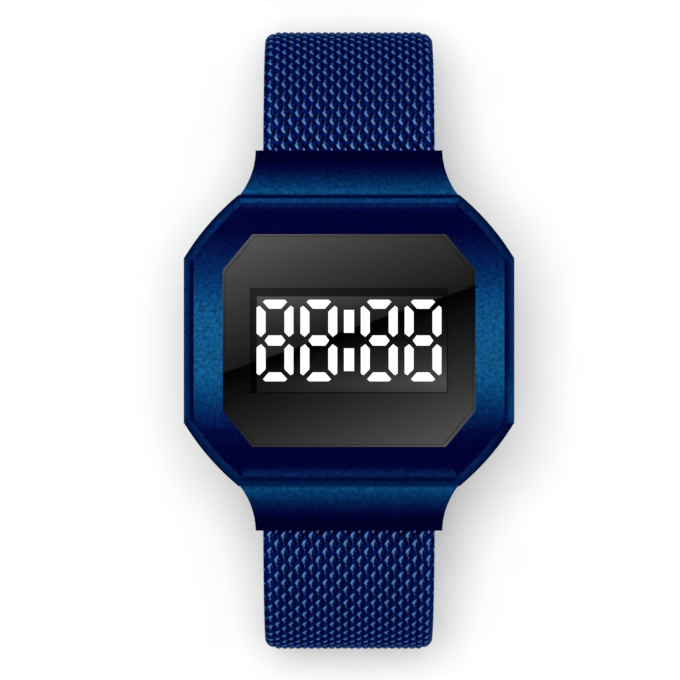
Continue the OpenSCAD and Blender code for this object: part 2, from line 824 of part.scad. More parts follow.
// Straight stretch of mesh along the lead, from the distance a to b from the bar
module lead_mesh(a, b) {
    translate([0, bar_y, bar_z]) rotate([-lead_dip, 0, 0]) translate([0, a, 0])
        rotate([-90, 0, 0]) linear_extrude(b - a) rotate([0, 0, 90]) mesh_section();
}

// Straight stretch of mesh through the clasp, between two places along Y
module flat_mesh(y0, y1) {
    translate([0, y0, mesh_z]) rotate([-90, 0, 0]) linear_extrude(y1 - y0)
        rotate([0, 0, 90]) mesh_section();
}

// Grooves of the straight stretch through the clasp, down to the place end_y
module flat_grooves(end_y) {
    count = round((straight_y - end_y) / rib_pitch);
    for (k = [0 : 1 : count - 1])
        translate([0, straight_y + (end_y - straight_y) * k / count, mesh_z]) groove_pair();
}

// Mesh link i of half a strap; the last one is straight up to the place end_y
module mesh_link(i, end_y = 0) {
    color(mesh_blue) difference() {
        union() {
            arc_link(i);
            if (i == 0) lead_mesh(mesh_from, lead_l + sink);
            if (i > 0) knuckle(i, -knuckle_in);
            if (i == bends) flat_mesh(end_y, straight_y + sink);
        }
        if (i < bends) knuckle(i + 1, link_fit - knuckle_in);
        arc_grooves(i);
        if (i == bends) flat_grooves(end_y);
    }
}

// Tube round the spring bar and the clamp that grips the mesh
module end_tube() {
    side_gap = 0.2;
    w = lug_gap - 2 * side_gap;
    color(blue) difference() {
        translate([0, bar_y, bar_z]) rotate([-lead_dip, 0, 0]) {
            rod_x(end_tube_d, w, 0, 0);
            translate([-w / 2, clamp_from, -strap_t / 2])
                cube([w, mesh_from - clamp_from, strap_t]);
        }
        rod_x(bar_d + 4 * run_fit, w + past, bar_y, bar_z);
    }
}

module upper_end_tube() { end_tube(); }
module lower_end_tube() { mirror([0, 1, 0]) end_tube(); }
module upper_mesh(i) { mesh_link(i, crimp_y + crimp_l); }
module lower_mesh(i) { mirror([0, 1, 0]) mesh_link(i, -mesh_tip_y + cap_l); }

// Clasp

module mesh_end_cap() {
    color(blue) translate([0, mesh_tip_y - cap_l, mesh_z]) rotate([-90, 0, 0])
        linear_extrude(cap_l) rotate([0, 0, 90]) mesh_section();
}

// Clamp on the end of the upper half, with the hook that catches the bar
module hook_plate() {
    cover = strap_t / 2 + 0.1;
    bevel = 0.3;
    tail = 0.5;
    color(blue) union() {
        along_x(strap_w) polygon([
            [crimp_y, mesh_z - cover + bevel], [crimp_y + bevel, mesh_z - cover],
            [crimp_y + crimp_l, mesh_z - cover], [crimp_y + crimp_l, mesh_z + cover],
            [crimp_y + bevel, mesh_z + cover], [crimp_y, mesh_z + cover - bevel]
        ]);
        along_x(hook_w) {
            difference() {
                translate([hook_y, catch_z]) circle(r = hook_r);
                translate([hook_y, catch_z]) circle(r = hook_r - hook_t);
                translate([hook_y - 2 * hook_r, catch_z]) square(4 * hook_r);
            }
            translate([hook_y - hook_r, catch_z - sink]) square([hook_t, tail]);
            translate([hook_y + hook_r - hook_t, catch_z - sink])
                square([hook_t, mesh_z - catch_z]);
        }
    }
}

// Slider: two walls with ears, the plate on the wrist side and a lip below the mesh
module clasp_slider() {
    plate_l = slider_l - 0.6;
    lip_l = 1.3;
    lip_z = mesh_z - strap_t / 2 - part_gap - plate_t;
    color(blue) difference() {
        union() {
            for (s = [-1, 1]) translate([s * (slider_side + slider_wall / 2), 0, 0])
                along_x(slider_wall) side_plate();
            translate([-slider_half + sink, slider_y0, slider_top - plate_t])
                cube([2 * (slider_half - sink), plate_l, plate_t]);
            translate([-slider_half + sink, slider_y0, lip_z])
                cube([2 * (slider_half - sink), lip_l, plate_t]);
        }
        rod_x(flap_pin_d, 3 * strap_w, flap_pin_y, flap_pin_z);
        rod_x(catch_d, 3 * strap_w, catch_y, catch_z);
        // Long hole in the wrist side plate, as such clasps have
        translate([0, slider_y0 + plate_l / 2, mesh_z]) linear_extrude(slider_top)
            long_hole();
    }
}

// Side outline of a slider wall with its rounded ear
module side_plate() {
    r = 0.6;
    corner = 0.3;
    high = catch_z + catch_d / 2 + 3 * ear_wall;
    polygon([
        [slider_y0 + corner, 0], [slider_y1, 0], [slider_y1, slider_top],
        [slider_y0, slider_top], [slider_y0, corner]
    ]);
    translate([slider_y1 - sink, clasp_low]) square([ear_l - r + sink, high - clasp_low]);
    translate([slider_y1 - sink, clasp_low + r])
        square([ear_l + sink, high - clasp_low - 2 * r]);
    for (z = [clasp_low + r, high - r]) translate([ear_y - r, z]) circle(r = r);
}

module long_hole() {
    square([slot_l - slot_w, slot_w], center = true);
    for (s = [-1, 1]) translate([s * (slot_l - slot_w) / 2, 0]) circle(d = slot_w);
}

module catch_bar() {
    color(steel) rod_x(catch_d, 2 * slider_half, catch_y, catch_z);
}

module flap_pin() {
    color(steel) rod_x(flap_pin_d, 2 * slider_half, flap_pin_y, flap_pin_z);
}

// Flap below the mesh with the ridge that grips it
module lock_flap() {
    w = 2 * (slider_side - inner_gap);
    low_z = 0.05;
    bevel = 0.3;
    free_y = flap_pin_y - flap_l;
    ridge_y = flap_pin_y - 2.2;
    ridge_root = 0.6;
    ridge_tip = 0.2;
    ridge_w = w - 3;
    notch_r = 2.4;
    color(blue) difference() {
        union() {
            rod_x(flap_barrel_d, w, flap_pin_y, flap_pin_z);
            along_x(w) polygon([
                [free_y, low_z + bevel], [free_y + bevel, low_z],
                [flap_pin_y, low_z + inner_gap], [flap_pin_y, low_z + flap_t],
                [free_y, low_z + flap_t]
            ]);
            along_x(ridge_w) polygon([
                [ridge_y - ridge_root, low_z + flap_t - sink],
                [ridge_y + ridge_root, low_z + flap_t - sink],
                [ridge_y + ridge_tip, mesh_z - strap_t / 2 - part_gap],
                [ridge_y - ridge_tip, mesh_z - strap_t / 2 - part_gap]
            ]);
        }
        rod_x(flap_pin_d + 2 * run_fit, w + past, flap_pin_y, flap_pin_z);
        // Notch for a fingernail at the flap's free end
        translate([0, free_y - notch_r / 2, -past]) cylinder(r = notch_r, h = 2 * past);
    }
}

case_middle();
bezel();
glass();
glass_gasket();
display_frame();
led_display();
digit_segments();
circuit_board();
controller_chip();
quartz_crystal();
touch_spring();
module_holder();
coin_cell();
positive_clip();
negative_contact();
insulating_sheet();
case_back();
back_gasket();
back_screws();
upper_spring_bar();
upper_bar_spring();
upper_bar_tip_left();
upper_bar_tip_right();
lower_spring_bar();
lower_bar_spring();
lower_bar_tip_left();
lower_bar_tip_right();
upper_end_tube();
lower_end_tube();
upper_mesh(0);  // upper_mesh_0
upper_mesh(1);  // upper_mesh_1
upper_mesh(2);  // upper_mesh_2
upper_mesh(3);  // upper_mesh_3
upper_mesh(4);  // upper_mesh_4
upper_mesh(5);  // upper_mesh_5
upper_mesh(6);  // upper_mesh_6
lower_mesh(0);  // lower_mesh_0
lower_mesh(1);  // lower_mesh_1
lower_mesh(2);  // lower_mesh_2
lower_mesh(3);  // lower_mesh_3
lower_mesh(4);  // lower_mesh_4
lower_mesh(5);  // lower_mesh_5
lower_mesh(6);  // lower_mesh_6
hook_plate();
mesh_end_cap();
clasp_slider();
catch_bar();
lock_flap();
flap_pin();
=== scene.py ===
# %% [markdown]
# # A digital watch on a woven wire strap
#
# The watch has an octagonal metal case with a hood over each end of the strap, a black
# glass with a lit display behind it, and a strap woven from fine wire that closes in a
# loop. The solids of the case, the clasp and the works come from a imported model. This
# lesson dresses them: it sets up the camera and the light, gives each solid a finish, and
# weaves the strap from real coils of wire.

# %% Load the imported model
import json
import math

import bpy
import numpy as np
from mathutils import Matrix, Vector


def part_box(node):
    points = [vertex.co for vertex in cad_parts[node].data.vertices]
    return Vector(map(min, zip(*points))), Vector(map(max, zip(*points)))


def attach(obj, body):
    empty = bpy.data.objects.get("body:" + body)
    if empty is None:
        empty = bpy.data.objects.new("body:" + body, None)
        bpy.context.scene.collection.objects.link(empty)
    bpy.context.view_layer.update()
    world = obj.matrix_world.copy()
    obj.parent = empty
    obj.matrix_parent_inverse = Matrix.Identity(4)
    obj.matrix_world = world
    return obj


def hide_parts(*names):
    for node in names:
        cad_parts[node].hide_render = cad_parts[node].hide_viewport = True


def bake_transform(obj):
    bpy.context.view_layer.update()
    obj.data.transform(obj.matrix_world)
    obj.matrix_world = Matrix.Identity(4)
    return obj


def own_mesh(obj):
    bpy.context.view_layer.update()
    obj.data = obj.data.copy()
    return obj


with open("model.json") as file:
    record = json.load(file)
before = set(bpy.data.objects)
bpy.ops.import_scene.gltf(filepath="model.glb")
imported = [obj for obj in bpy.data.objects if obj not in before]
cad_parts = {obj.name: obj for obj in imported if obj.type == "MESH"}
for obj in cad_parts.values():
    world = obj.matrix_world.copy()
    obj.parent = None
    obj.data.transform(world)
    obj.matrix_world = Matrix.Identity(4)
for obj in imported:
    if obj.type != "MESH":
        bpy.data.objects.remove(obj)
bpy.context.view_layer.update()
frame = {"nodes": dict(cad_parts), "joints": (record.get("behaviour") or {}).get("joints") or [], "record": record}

MM = 0.001

# %% [markdown]
# ## Camera
#
# The photograph was taken from straight above with a long lens, so the strap's two ends
# show only where they curve away. A long lens is a camera far away with a narrow view. It
# is the first thing made, because every later choice is judged through it. The picture is
# square, and 12 o'clock is up.

# %% Camera above the dial
LENS = 230.8
CAMERA_PLACE = (-1.04 * MM, 0.06 * MM, 550 * MM)
scene = bpy.context.scene
camera_data = bpy.data.cameras.new("camera")
camera_data.sensor_width = 36
camera_data.lens = LENS
camera_data.clip_start = 0.01
camera = bpy.data.objects.new("camera", camera_data)
camera.location = CAMERA_PLACE
scene.collection.objects.link(camera)
scene.camera = camera
print("camera height in mm:", round(camera.location.z / MM))

# %% [markdown]
# ## Values that can be reckoned with
#
# A finish is a tree of nodes. Wired one by one, a simple sum takes four lines, and nobody
# can read it later. Here a small class holds the output of a node and knows how to add,
# subtract, multiply and divide, so a finish can be written as plain sums. Each sign makes
# one Math node.

# %% Node values with arithmetic
class Value:
    """The output of a node, for use in sums"""

    def __init__(self, finish, socket):
        self.finish = finish
        self.socket = socket

    def sum(self, operation, *terms):
        sockets = dict(enumerate(terms))
        return self.finish.node("ShaderNodeMath", {"operation": operation}, sockets)

    def __add__(self, other):
        return self.sum("ADD", self, other)

    def __sub__(self, other):
        return self.sum("SUBTRACT", self, other)

    def __rsub__(self, other):
        return self.sum("SUBTRACT", other, self)

    def __mul__(self, other):
        return self.sum("MULTIPLY", self, other)

    def __truediv__(self, other):
        return self.sum("DIVIDE", self, other)

    def __abs__(self):
        return self.sum("ABSOLUTE", self)

    __radd__ = __add__
    __rmul__ = __mul__

    def least(self, other):
        return self.sum("MINIMUM", self, other)

    def most(self, other):
        return self.sum("MAXIMUM", self, other)

    def root(self):
        return self.sum("SQRT", self)

    def floor(self):
        return self.sum("FLOOR", self)

    def fraction(self):
        return self.sum("FRACT", self)


# %% [markdown]
# ## Colours
#
# Colours are written as they look on screen, from 0 to 255, and turned to light values.

# %% Screen colours to light values
def tone(red, green, blue):
    """Colour as light values, from its 0 to 255 screen values"""
    steps = [c / 255 for c in (red, green, blue)]
    return tuple(c / 12.92 if c < 0.04 else ((c + 0.055) / 1.055) ** 2.4 for c in steps) + (1,)


def greys(*pairs):
    """Colour stops from pairs of a value and a screen grey"""
    return [(at, (grey, grey, grey)) for at, grey in pairs]


print("screen grey 128 as light:", round(tone(128, 128, 128)[0], 3))

# %% [markdown]
# ## Building a finish
#
# Each finish starts as Blender's Principled shader. One method adds any node: it takes
# the node's type, its settings and what goes into its sockets. The other methods are the
# few patterns this watch needs: a place in millimetres, a rise from 0 to 1 between two
# values, a row of colours along a value, a mix of two colours, noise, streaks and a bump.

# %% The finish class
class Finish:
    """A material under construction"""

    def __init__(self, name, **fixed):
        self.material = bpy.data.materials.new(name)
        self.material.use_nodes = True
        self.tree = self.material.node_tree
        self.shader = self.tree.nodes["Principled BSDF"]
        for socket, value in fixed.items():
            self.use(socket.replace("_", " "), value)

    def put(self, socket, value):
        if isinstance(value, Value):
            self.tree.links.new(value.socket, socket)
        else:
            socket.default_value = value

    def use(self, socket, value):
        """Set or link one of the shader's own sockets"""
        self.put(self.shader.inputs[socket], value)

    def show(self, surface):
        """Another shader in place of the Principled one"""
        self.put(self.tree.nodes["Material Output"].inputs["Surface"], surface)
        self.tree.nodes.remove(self.shader)

    def node(self, kind, settings, sockets, output=0):
        made = self.tree.nodes.new(kind)
        for name, value in settings.items():
            setattr(made, name, value)
        for name, value in sockets.items():
            self.put(made.inputs[name], value)
        return Value(self, made.outputs[output])

    def place(self):
        return self.node("ShaderNodeTexCoord", {}, {}, "Object")

    def millimetres(self):
        """X, Y and Z of the point in millimetres"""
        spread = self.node("ShaderNodeSeparateXYZ", {}, {0: self.place()})
        parts = spread.socket.node.outputs
        return [Value(self, parts[i]) * (1 / MM) for i in range(3)]

    def rise(self, value, start, end):
        """Smooth step: 0 at start and 1 at end"""
        ends = {0: value, 1: start, 2: end}
        return self.node("ShaderNodeMapRange", {"interpolation_type": "SMOOTHSTEP"}, ends)

    def colours(self, value, stops):
        """Colour along a value: stops are pairs of a value and a screen colour"""
        low = stops[0][0]
        span = stops[-1][0] - low
        row = self.node("ShaderNodeValToRGB", {}, {0: (value - low) / span})
        elements = row.socket.node.color_ramp.elements
        while len(elements) < len(stops):
            elements.new(0.5)
        for element, (at, colour) in zip(elements, stops):
            element.position = (at - low) / span
            element.color = tone(*colour)
        return row

    def mix(self, share, first, second):
        return self.node("ShaderNodeMix", {"data_type": "RGBA"}, {0: share, 6: first, 7: second}, 2)

    def strengthen(self, colour, factor):
        return self.node("ShaderNodeVectorMath", {"operation": "SCALE"}, {0: colour, 3: factor})

    def noise(self, size, detail=2.0, rough=0.5):
        """Noise from 0 to 1 whose features are about this many millimetres across"""
        sockets = {"Vector": self.place(), "Scale": 1 / (size * MM), "Detail": detail,
                   "Roughness": rough}
        return self.node("ShaderNodeTexNoise", {}, sockets)

    def streaks(self, stretch, detail):
        """Noise from 0 to 1 drawn out into lines, with its own scale along X, Y and Z"""
        turned = self.node("ShaderNodeMapping", {}, {"Vector": self.place(), "Scale": stretch})
        return self.node("ShaderNodeTexNoise", {}, {"Vector": turned, "Detail": detail})

    def bump(self, height, depth):
        """Bump whose full height is this many millimetres"""
        sockets = {"Height": height, "Distance": depth * MM, "Strength": 1.0}
        self.use("Normal", self.node("ShaderNodeBump", {}, sockets))


# %% [markdown]
# ## Floor and studio light
#
# The photograph has a plain white ground with a soft shadow. A large pale sheet is the
# floor. The light comes evenly from all sides, as in a light tent. A lamp almost overhead
# brings the paper to white and leaves a shadow close round the watch, and one from the
# upper left shows only in gloss, so that wires and edges get a bright and a dark side.

# %% Floor
FLOOR_SIDE = 4
bpy.ops.object.select_all(action="DESELECT")
bpy.ops.mesh.primitive_plane_add(size=FLOOR_SIDE)
floor = bpy.context.object
floor.name = "floor"
paper = Finish("paper", Roughness=0.9)
paper.use("Base Color", paper.mix(paper.noise(6.0), tone(182, 182, 182), tone(185, 185, 185)))
floor.data.materials.append(paper.material)
print("floor in m:", tuple(round(side, 2) for side in floor.dimensions))

# %% Light tent
TENT_STRENGTH = 1.07
world = bpy.data.worlds.new("light_tent")
world.use_nodes = True
tent = world.node_tree.nodes["Background"]
tent.inputs["Color"].default_value = (1, 1, 1, 1)
tent.inputs["Strength"].default_value = TENT_STRENGTH
scene.world = world
scene.view_settings.view_transform = "Standard"
print("tent strength:", TENT_STRENGTH)

# %% Lamps aimed at the watch
def add_lamp(name, size, energy, place):
    """Round lamp of this size in metres, aimed at the origin"""
    data = bpy.data.lights.new(name, "AREA")
    data.shape = "DISK"
    data.size = size
    data.energy = energy
    lamp = bpy.data.objects.new(name, data)
    lamp.location = place
    lamp.rotation_euler = (-lamp.location).to_track_quat("-Z", "Y").to_euler()
    scene.collection.objects.link(lamp)
    print(name, "at mm:", [round(c / MM) for c in lamp.location])
    return lamp


edge_lamp = add_lamp("edge_lamp", 0.35, 1.0, (-0.16, 0.22, 0.62))
edge_lamp.visible_diffuse = False
top_lamp = add_lamp("top_lamp", 0.2, 6.1, (-0.018, 0.026, 0.7))
top_lamp.visible_glossy = False

# %% [markdown]
# ## What the glass mirrors
#
# A polished pane shows the room above it. In the photograph that is a bright area with
# a slanting edge: lighter grey at the upper left, black below the edge, and grey again at
# the bottom. It could be painted on the glass, but a painted gloss stays put when the
# view turns. Instead a card hangs beside the lens, where the pane mirrors it, and its
# brightness has this edge. It is hidden from the lens itself and casts no shadow. Only
# perfectly sharp mirrors show it, so the satin metal still mirrors the plain tent.
#
# The pane and the black parts under it mirror about a tenth of the light. So the card
# glows about ten times as strongly as the grey that is wanted in the picture.

# %% Card beside the lens
CARD_SIZE = 0.16
CARD_HEIGHT = 0.552
bpy.ops.object.select_all(action="DESELECT")
bpy.ops.mesh.primitive_plane_add(size=CARD_SIZE)
card = bpy.context.object
card.name = "reflected_card"
for corner in card.data.vertices:
    corner.co.z += CARD_HEIGHT
card.visible_camera = False
card.visible_shadow = False
card.visible_diffuse = False
print("card height in mm:", round(card.data.vertices[0].co.z / MM))

# %% Glow of the card
GLASS_SHARE = 0.095
EDGE_Y = 2.2
EDGE_SLOPE = 0.346
gleam = Finish("gleam")
x, y, _ = gleam.millimetres()
seen = gleam.colours(y - EDGE_Y - x * EDGE_SLOPE, greys(
    (-40.0, 92), (-27.6, 65), (-20.7, 48), (-13.8, 32), (-6.9, 15), (-1.8, 2), (-0.15, 0),
    (0.15, 25), (6.9, 39), (13.8, 53), (20.7, 68), (34.0, 95)))
light = gleam.node("ShaderNodeEmission", {}, {"Color": seen, "Strength": 1 / GLASS_SHARE})
clear = gleam.node("ShaderNodeBsdfTransparent", {}, {})
mirrored = gleam.node("ShaderNodeLightPath", {}, {}, "Is Singular Ray")
gleam.show(gleam.node("ShaderNodeMixShader", {}, {0: mirrored, 1: clear, 2: light}))
card.data.materials.append(gleam.material)
print("card nodes:", len(gleam.tree.nodes))

# %% [markdown]
# ## Blue metal of the case
#
# The case is metal with a satin blue coat and a fine grain, as leather has. Light runs
# over it in soft bands: the long sides are bright in the middle and dark at the corners,
# the hoods are bright at the root and nearly black at their ends. These bands are painted
# light and shade in the coat's colour, so the colour is a row of tones along the watch.
# The tint of its edges keeps the metal dark where it is seen at a slant.

# %% Grain shared by the coated parts
EDGE_TINT = (0.4, 0.5, 0.65, 1)


def add_grain(finish, colour):
    """Dress a coat in this colour with the grain: its shade, its roughness and its bump"""
    fine = finish.noise(0.4)
    coarse = finish.noise(0.6)
    shade = fine * 1.35 + coarse * 0.4 - 0.115
    finish.use("Base Color", finish.strengthen(colour, shade))
    finish.use("Roughness", 0.34 + fine * 0.16)
    finish.bump(fine * 0.6 + coarse, 0.05)


# %% [markdown]
# ## Outline of the case
#
# The distance from the case's outline tells the strips of the bevel from the flat face.
# The outline is two straight pairs of sides and four facets, which are arcs of a large
# circle.

# %% Distance from the outline
HALF_W = 19.0
HALF_L = 16.75
FACET_R = 29.0
FACET_X = -5.797
FACET_Y = -5.582


def edge_distance(x, y):
    """Distance inward from the case's outline, in millimetres"""
    corner_x = abs(x) - FACET_X
    corner_y = abs(y) - FACET_Y
    facet = FACET_R - (corner_x * corner_x + corner_y * corner_y).root()
    return (HALF_W - abs(x)).least(HALF_L - abs(y)).least(facet)


facet_start = FACET_Y + math.sqrt(FACET_R ** 2 - (HALF_W - FACET_X) ** 2)
print("long sides end at y in mm:", round(facet_start, 2))

# %% [markdown]
# ## Finish of the bezel
#
# The flat face is a row of tones along Y, a painted highlight across the middle and painted
# shade towards both ends. The bevel round it has strips of painted light and shade of its
# own: on the long sides from a light outer edge to a dark line, on the lower right one
# lighter, on the facets with the light in the middle, and another row at each end of the
# watch.

# %% Flat face and long sides
bezel_coat = Finish("bezel_coat", Metallic=1.0, Specular_Tint=EDGE_TINT)
x, y, _ = bezel_coat.millimetres()
inward = edge_distance(x, y)
# Painted light and shade of the face: bright across the middle, dark towards both ends.
face = bezel_coat.colours(y, [
    (-12.4, (2, 3, 50)), (-10.4, (3, 10, 62)), (-8.7, (4, 32, 84)), (-7.0, (6, 54, 104)),
    (-5.2, (11, 73, 123)), (-3.5, (16, 82, 131)), (1.7, (16, 82, 131)), (3.4, (14, 77, 126)),
    (5.1, (10, 65, 117)), (6.85, (6, 50, 101)), (8.6, (5, 34, 86)), (10.3, (4, 20, 72)),
    (12.4, (2, 4, 52))])
# Painted shading of the bevel strips on the long sides, and a lighter painted highlight on the lower right.
long_side_painted_shading = bezel_coat.colours(inward, [
    (0.0, (6, 36, 82)), (0.14, (16, 60, 110)), (0.3, (9, 48, 100)), (0.46, (5, 38, 92)),
    (0.62, (3, 27, 80)), (0.8, (2, 15, 66)), (0.97, (0, 6, 54)), (1.1, (0, 9, 58))])
painted_highlight_strips = bezel_coat.colours(inward, [
    (0.0, (20, 66, 112)), (0.3, (10, 72, 124)), (0.6, (6, 54, 104)), (0.8, (8, 42, 93)),
    (0.97, (3, 24, 76)), (1.1, (1, 22, 74))])
painted_highlight_low_right = bezel_coat.rise(x, 17.0, 17.2) * bezel_coat.rise(y, -1.5, -7.0)
side_painted_shading = bezel_coat.mix(painted_highlight_low_right, long_side_painted_shading, painted_highlight_strips)
print("bezel nodes:", len(bezel_coat.tree.nodes))

# %% Facets and ends
# Painted shading of the bevel on the facets, with painted shade on the lower right facet.
facet_painted_shading = bezel_coat.colours(inward, [
    (0.0, (5, 10, 52)), (0.16, (7, 20, 65)), (0.36, (6, 28, 80)), (0.7, (5, 34, 86)),
    (0.92, (11, 39, 91)), (1.06, (8, 27, 77)), (1.2, (4, 14, 64)), (1.3, (2, 8, 58))])
painted_shade_low_right_facet = bezel_coat.rise(x, 15.0, 17.6) * bezel_coat.rise(y, -9.0, -9.4)
facet_painted_shading = bezel_coat.mix(painted_shade_low_right_facet * 0.8, facet_painted_shading, tone(2, 8, 54))
# Painted light and shade of the bevel at each end of the watch.
upper_end_painted_shading = bezel_coat.colours(inward, [
    (0.0, (1, 14, 64)), (0.35, (1, 20, 70)), (0.5, (12, 62, 116)), (0.85, (12, 58, 112)),
    (1.05, (1, 28, 77)), (1.3, (8, 24, 75)), (1.6, (3, 8, 60)), (2.0, (2, 3, 50))])
lower_end_painted_shading = bezel_coat.colours(inward, [
    (0.0, (6, 44, 97)), (0.45, (4, 34, 86)), (0.7, (3, 12, 63)), (0.95, (3, 12, 63)),
    (1.2, (10, 31, 81)), (1.6, (4, 30, 80)), (2.0, (3, 12, 64)), (2.4, (2, 3, 50))])
end_painted_shading = bezel_coat.mix(bezel_coat.rise(y, -0.1, 0.1), lower_end_painted_shading, upper_end_painted_shading)
print("bezel nodes:", len(bezel_coat.tree.nodes))

# %% Bezel put together
BEVEL_W = 1.17
END_X = 11.1
END_Y = 12.2
END_SLOPE = 0.352
strips = bezel_coat.mix(bezel_coat.rise(abs(y), 9.0, 9.7), side_painted_shading, facet_painted_shading)
sides = bezel_coat.mix(bezel_coat.rise(inward, BEVEL_W - 0.05, BEVEL_W + 0.05), strips, face)
end_line = END_X + (abs(y) - END_Y) * END_SLOPE
past_corner = bezel_coat.rise(abs(y), END_Y - 0.1, END_Y + 0.1)
at_end = bezel_coat.rise(end_line - abs(x), -0.05, 0.05) * past_corner
top_painted_shading = bezel_coat.mix(at_end, sides, end_painted_shading)
on_wall = bezel_coat.rise(inward, 0.03, 0.01)
add_grain(bezel_coat, bezel_coat.mix(on_wall, top_painted_shading, tone(5, 40, 90)))
print("bezel nodes:", len(bezel_coat.tree.nodes))

# %% [markdown]
# ## Finish of the case and the clasp
#
# On the hoods the row of painted light and shade runs along the watch, and on the walls it
# runs with the height. The clasp is out of sight in the photograph, so it has the same blue
# with the fine lines that brushing leaves.

# %% Case finish
case_coat = Finish("case_coat", Metallic=1.0, Specular_Tint=EDGE_TINT)
_, y, z = case_coat.millimetres()
# Painted light and shade on the hoods: bright at the root, nearly black at the ends.
hood = case_coat.colours(abs(y), [
    (16.6, (1, 14, 64)), (16.85, (12, 60, 112)), (17.05, (14, 76, 129)), (17.6, (6, 61, 113)),
    (18.0, (6, 53, 104)), (18.6, (5, 38, 90)), (19.1, (4, 27, 78)), (19.6, (3, 15, 67)),
    (20.1, (3, 6, 57)), (20.7, (2, 2, 47)), (22.0, (2, 2, 45))])
# Painted shade on the walls, darkest at the bottom.
wall_painted_shading = case_coat.colours(z, [
    (40.9, (2, 8, 54)), (42.0, (4, 26, 80)), (44.5, (9, 54, 106)), (47.3, (5, 36, 90))])
add_grain(case_coat, case_coat.mix(case_coat.rise(abs(y), 16.6, 16.75), wall_painted_shading, hood))
print("case nodes:", len(case_coat.tree.nodes))

# %% Clasp finish
clasp_coat = Finish("clasp_coat", Metallic=1.0, Specular_Tint=EDGE_TINT)
lines = clasp_coat.streaks((300, 9000, 9000), 3.0)
clasp_coat.use("Base Color", clasp_coat.mix(lines, tone(5, 26, 82), tone(14, 66, 122)))
clasp_coat.use("Roughness", 0.28 + lines * 0.15)
clasp_coat.bump(lines, 0.01)
print("clasp nodes:", len(clasp_coat.tree.nodes))

# %% [markdown]
# ## Plain metals, black parts and the works
#
# Steel shows on the case back, the screws, the pins and the cell. Each of the small parts
# inside gets a finish of its own as well, since the watch may be taken apart.

# %% Steel, contact metal and plastics
def fine_metal(name, dark, light, rough, stretch):
    """Bare metal with fine lines; a larger stretch along an axis makes them finer there"""
    finish = Finish(name, Metallic=1.0)
    lines = finish.streaks(stretch, 4.0)
    finish.use("Base Color", finish.mix(lines, tone(*dark), tone(*light)))
    finish.use("Roughness", rough - 0.06 + lines * 0.14)
    finish.bump(lines, 0.006)
    return finish


def speckled(name, dark, light, size, rough, depth=0.0):
    """Finish with faint specks this many millimetres across, smooth where depth is 0"""
    finish = Finish(name)
    grain = finish.noise(size, 3.0)
    finish.use("Base Color", finish.mix(grain, tone(*dark), tone(*light)))
    finish.use("Roughness", rough - 0.06 + grain * 0.12)
    if depth > 0:
        finish.bump(grain, depth)
    return finish


steel = fine_metal("brushed_steel", (150, 152, 156), (196, 198, 202), 0.3, (400, 6000, 6000))
contact = fine_metal("contact_metal", (196, 152, 78), (232, 194, 118), 0.26, (5000, 500, 5000))
chip = speckled("chip_resin", (16, 16, 17), (28, 28, 29), 0.1, 0.5, 0.004)
board = speckled("board_lacquer", (10, 62, 34), (18, 84, 48), 1.2, 0.34, 0.01)
holder = speckled("holder_plastic", (214, 213, 208), (230, 229, 224), 0.5, 0.45, 0.006)
film = speckled("amber_film", (186, 120, 26), (206, 140, 40), 1.5, 0.3, 0.002)
print("board nodes:", len(board.tree.nodes))

# %% [markdown]
# ## Display behind the glass
#
# The frame and the display's face are black and smooth. The digits glow white. The glass
# lets light through and mirrors a little of it, more at a slant, which a Fresnel node
# gives: it mixes a clear shader and a mirror. The frame, the gasket and the display's
# face mirror a share as well, so that all of them look like one dark sheet. The gasket's
# rim is bare and its lip lies under the pane, so the rim mirrors more.

# %% Frame and gasket
WINDOW_X = 11.3
WINDOW_Y = 5.95
LIP_SHARE = 0.757
display_black = speckled("display_black", (1, 1, 1), (3, 3, 3), 0.3, 0.5)
gasket = speckled("gasket_rubber", (1, 1, 1), (3, 3, 3), 0.2, 0.7)
for finish, bend in ((display_black, 1.74), (gasket, 1.9)):
    finish.use("Specular IOR Level", 0.0)
    finish.use("Coat IOR", bend)
    finish.use("Coat Roughness", 0.0)
x, y, _ = display_black.millimetres()
past_window = (abs(x) - WINDOW_X).most(abs(y) - WINDOW_Y)
display_black.use("Coat Weight", display_black.rise(past_window, 0.1, 0.13))
_, _, z = gasket.millimetres()
gasket.use("Coat Weight", LIP_SHARE + gasket.rise(z, 48.72, 48.8) * (1 - LIP_SHARE))
print("gasket nodes:", len(gasket.tree.nodes))

# %% Display and digits
led_face = Finish("led_face", Metallic=1.0, Roughness=0.0)
x, y, _ = led_face.millimetres()
# Painted reflection: the face's mirror is stronger near its top and its bottom.
painted_reflection_tones = led_face.colours(y, greys(
    (-5.9, 112), (-4.8, 140), (-3.9, 132), (-2.9, 122), (-1.1, 115), (-0.2, 96), (0.8, 87),
    (2.6, 98), (3.5, 101), (4.4, 124), (5.1, 128)))
# Painted shadow of the window's edge: a dark border along the top and left of the face.
clear_of_painted_shadow = led_face.rise(x, -10.65, -10.6) * led_face.rise(y, 5.1, 5.05)
led_face.use("Base Color", led_face.mix(clear_of_painted_shadow, tone(32, 32, 32), painted_reflection_tones))

digit_light = Finish("digit_light", Emission_Strength=1.3, Roughness=0.4)
spots = digit_light.noise(0.5)
digit_light.use("Base Color", digit_light.mix(spots, tone(2, 2, 2), tone(6, 6, 6)))
digit_light.use("Specular IOR Level", 0.0)
digit_light.use("Emission Color", digit_light.mix(spots, tone(244, 248, 252), tone(255, 255, 255)))
print("display nodes:", len(led_face.tree.nodes))

# %% Glass
PANE_IOR = 1.28
pane = Finish("black_glass")
clear = pane.node("ShaderNodeBsdfTransparent", {}, {"Color": (0.975, 0.975, 0.975, 1)})
mirror = pane.node("ShaderNodeBsdfGlossy", {}, {"Color": (1, 1, 1, 1), "Roughness": 0.0})
bent = pane.node("ShaderNodeFresnel", {}, {"IOR": PANE_IOR})
smudge = 0.97 + pane.noise(4.0) * 0.06
pane.show(pane.node("ShaderNodeMixShader", {}, {0: bent * smudge, 1: clear, 2: mirror}))
print("glass nodes:", len(pane.tree.nodes))
